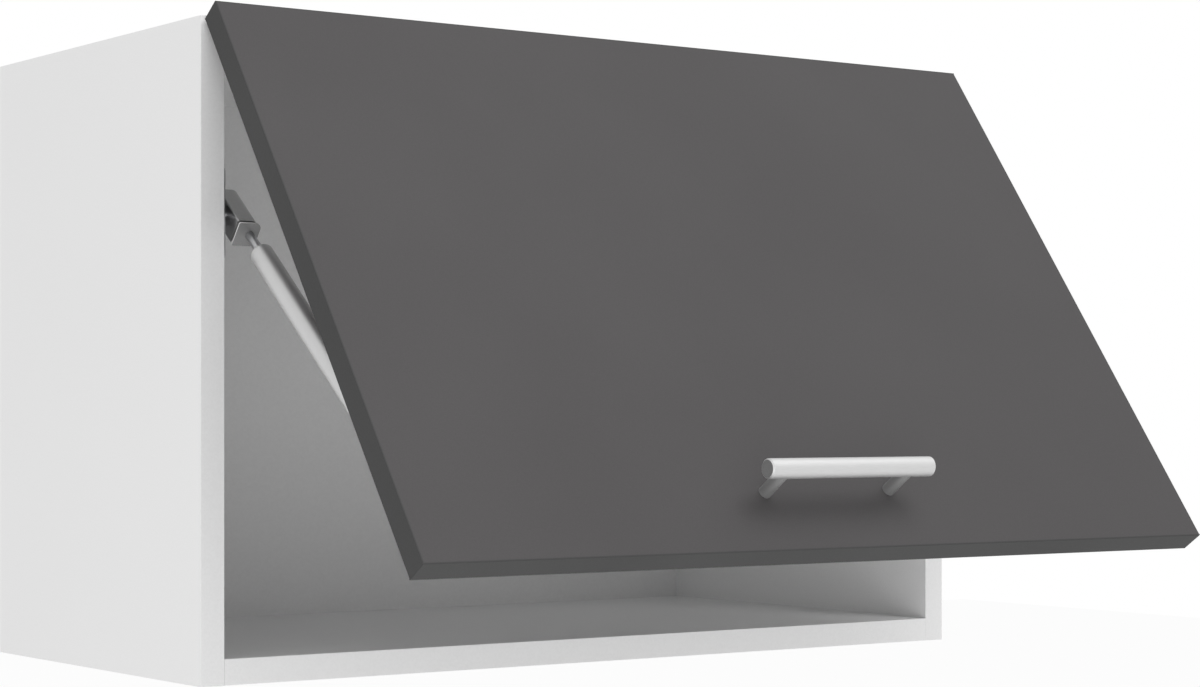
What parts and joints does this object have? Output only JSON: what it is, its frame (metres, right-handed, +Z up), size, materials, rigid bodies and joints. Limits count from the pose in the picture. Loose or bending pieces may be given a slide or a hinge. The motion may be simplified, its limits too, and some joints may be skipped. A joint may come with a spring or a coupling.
{
  "type": "kitchen wall cabinet",
  "caption": "Wide low wall cabinet with a white open-front carcass and a grey top-hinged lift-up flap held by gas struts, with a round bar handle.",
  "frame": {"origin": "centre of the rear face of the back panel, on the wall plane", "axes": "+X along the cabinet's width to the right seen from the front, +Y from the front to the wall, +Z up"},
  "size_m": [0.6, 0.5414, 0.407],
  "materials": {
    "white_board": "white melamine on particle board, fine matt grain",
    "white_band": "white edge band",
    "white_sheet": "white lacquered hardboard",
    "grey_board": "matt anthracite melamine",
    "grey_band": "matt anthracite edge band",
    "zinc": "die-cast zinc",
    "beech": "bare beech",
    "steel": "zinc-plated steel",
    "strut_silver": "satin silver paint",
    "fitting_grey": "grey moulded plastic",
    "handle_silver": "satin metal",
    "bumper_clear": "translucent soft pad"
  },
  "bodies": {
    "carcass": {"side_panel_left": "white_board", "side_panel_right": "white_board", "top_panel": "white_board", "bottom_panel": "white_board", "back_panel": "white_sheet", "side_edge_band_left": "white_band", "side_edge_band_right": "white_band", "top_edge_band": "white_band", "bottom_edge_band": "white_band", "cam_housings": "zinc", "cam_bolts": "zinc", "cam_covers": "white_band", "corner_dowels": "beech", "back_nails": "steel", "hanger_plate_left": "steel", "hanger_plate_right": "steel", "hanger_screws": "steel", "hinge_leaf_carcass_left": "steel", "hinge_leaf_carcass_right": "steel", "hinge_pin_left": "steel", "hinge_pin_right": "steel", "hinge_screws_carcass": "steel", "strut_wall_plate_left": "steel", "strut_wall_plate_right": "steel", "strut_wall_plate_screws": "steel"},
    "flap": {"flap_panel": "grey_board", "flap_edge_band_top": "grey_band", "flap_edge_band_bottom": "grey_band", "flap_edge_band_left": "grey_band", "flap_edge_band_right": "grey_band", "flap_bumpers": "bumper_clear", "hinge_leaf_flap_left": "steel", "hinge_leaf_flap_right": "steel", "hinge_screws_flap": "steel", "strut_flap_bracket_left": "steel", "strut_flap_bracket_right": "steel", "strut_flap_bracket_screws": "steel", "strut_flap_pin_left": "steel", "strut_flap_pin_right": "steel", "handle_bar": "handle_silver", "handle_post_left": "handle_silver", "handle_post_right": "handle_silver", "handle_screws": "steel"},
    "strut_rod_left": {"strut_rod_left": "steel", "strut_rod_eye_left": "fitting_grey", "strut_piston_left": "fitting_grey"},
    "strut_tube_left": {"strut_tube_left": "strut_silver", "strut_rod_guide_left": "fitting_grey", "strut_stud_left": "steel", "strut_upper_fitting_left": "fitting_grey", "strut_ball_stud_left": "steel"},
    "strut_rod_right": {"strut_rod_right": "steel", "strut_rod_eye_right": "fitting_grey", "strut_piston_right": "fitting_grey"},
    "strut_tube_right": {"strut_tube_right": "strut_silver", "strut_rod_guide_right": "fitting_grey", "strut_stud_right": "steel", "strut_upper_fitting_right": "fitting_grey", "strut_ball_stud_right": "steel"}
  },
  "joints": [
    {"name": "flap_lift", "type": "hinge", "parent": "carcass", "child": "flap", "pos_m": [0, -0.2965, 0.1965], "axis": [-1, 0, 0], "range_deg": [-35.34, 34.66]},
    {"name": "strut_swing_left", "type": "hinge", "parent": "flap", "child": "strut_rod_left", "pos_m": [-0.27, -0.48236, -0.07772], "axis": [-1, 0, 0], "range_deg": [-3.33, 3.27]},
    {"name": "strut_slide_left", "type": "slide", "parent": "strut_rod_left", "child": "strut_tube_left", "axis": [0, 0.7767, 0.6299], "range_m": [-0.06366, 0.06244]},
    {"name": "strut_swing_right", "type": "hinge", "parent": "flap", "child": "strut_rod_right", "pos_m": [0.27, -0.48236, -0.07772], "axis": [-1, 0, 0], "range_deg": [-3.33, 3.27]},
    {"name": "strut_slide_right", "type": "slide", "parent": "strut_rod_right", "child": "strut_tube_right", "axis": [0, 0.7767, 0.6299], "range_m": [-0.06366, 0.06244]}
  ],
  "couplings": [
    {"joint": "strut_swing_left", "follows": "flap_lift", "ratio": 0.093763},
    {"joint": "strut_slide_left", "follows": "flap_lift", "m_per_rad": 0.10313},
    {"joint": "strut_swing_right", "follows": "flap_lift", "ratio": 0.093763},
    {"joint": "strut_slide_right", "follows": "flap_lift", "m_per_rad": 0.10313}
  ]
}
